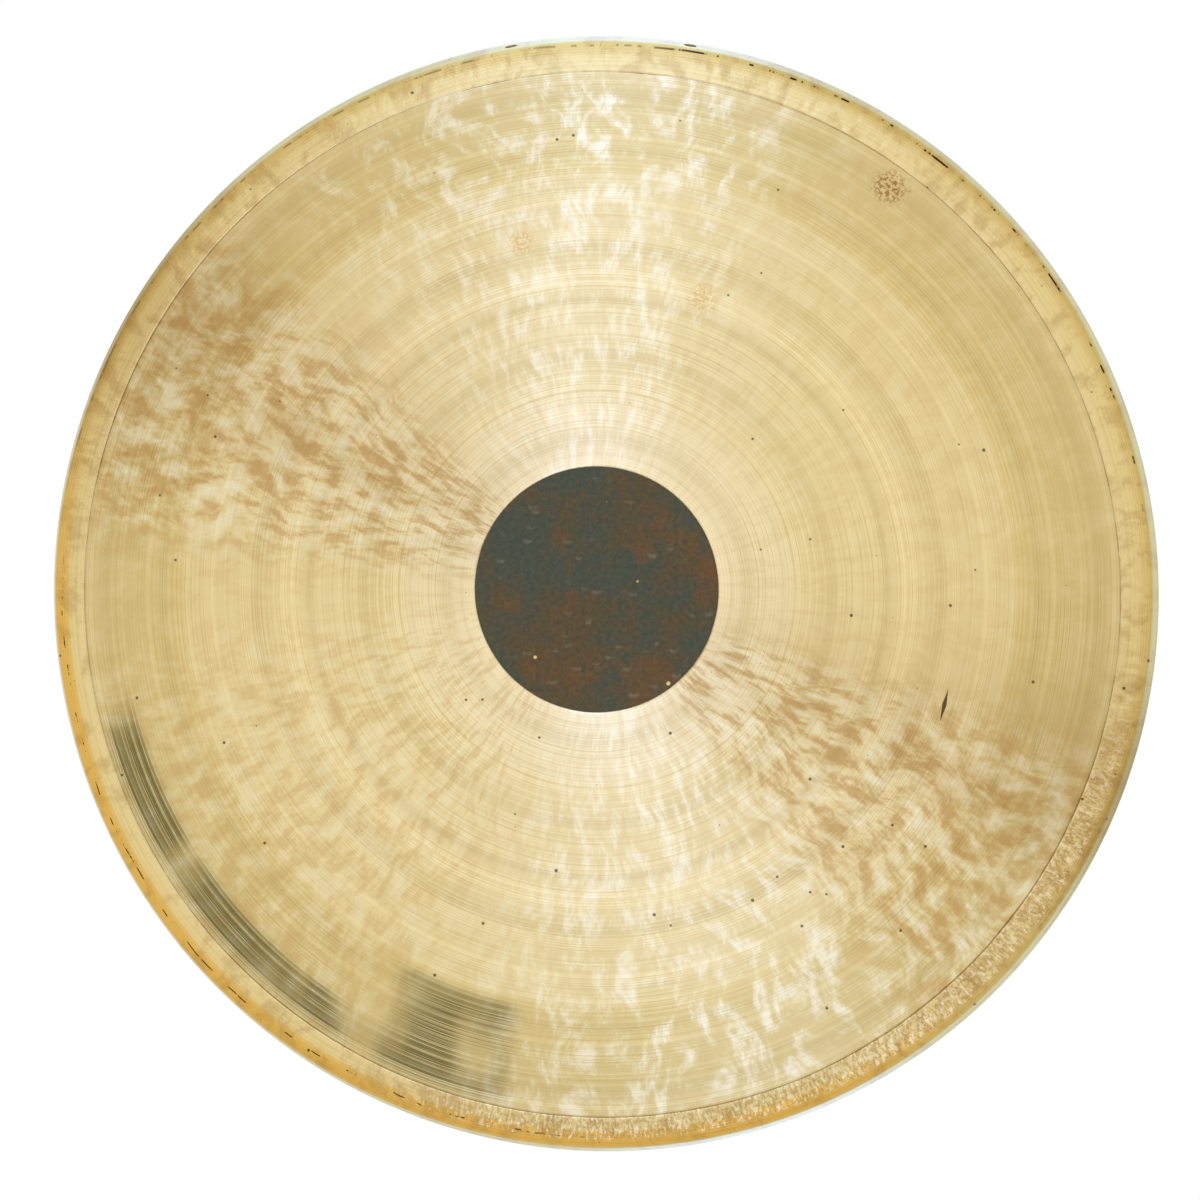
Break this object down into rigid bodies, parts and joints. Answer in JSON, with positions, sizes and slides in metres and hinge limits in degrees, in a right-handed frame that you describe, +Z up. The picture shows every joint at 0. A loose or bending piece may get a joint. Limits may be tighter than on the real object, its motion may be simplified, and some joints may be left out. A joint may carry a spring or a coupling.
{
  "type": "gong",
  "caption": "Hand-hammered bronze wind gong: nearly flat lathed disc with an unlathed dark centre, a turned-back lip and holes for a hanging cord.",
  "frame": {"origin": "centre of the disc, halfway through its depth from the front of the centre to the lip's rear face", "axes": "+Z up with the hanging holes at the top; the face looks along -Y and the lip's rear face along +Y; +X to the right seen from the front"},
  "size_m": [0.9142, 0.0538, 0.9142],
  "materials": {
    "lathed_bronze": "pale gold, hand-lathed in fine concentric lines over hammer marks",
    "dark_oxide": "near-black brown fire scale on the unlathed centre",
    "hammered_rim": "deeper gold, hammered and scraped, with dark oxide left in the corner"
  },
  "bodies": {
    "root": {"gong_disc": "lathed_bronze"}
  },
  "joints": []
}
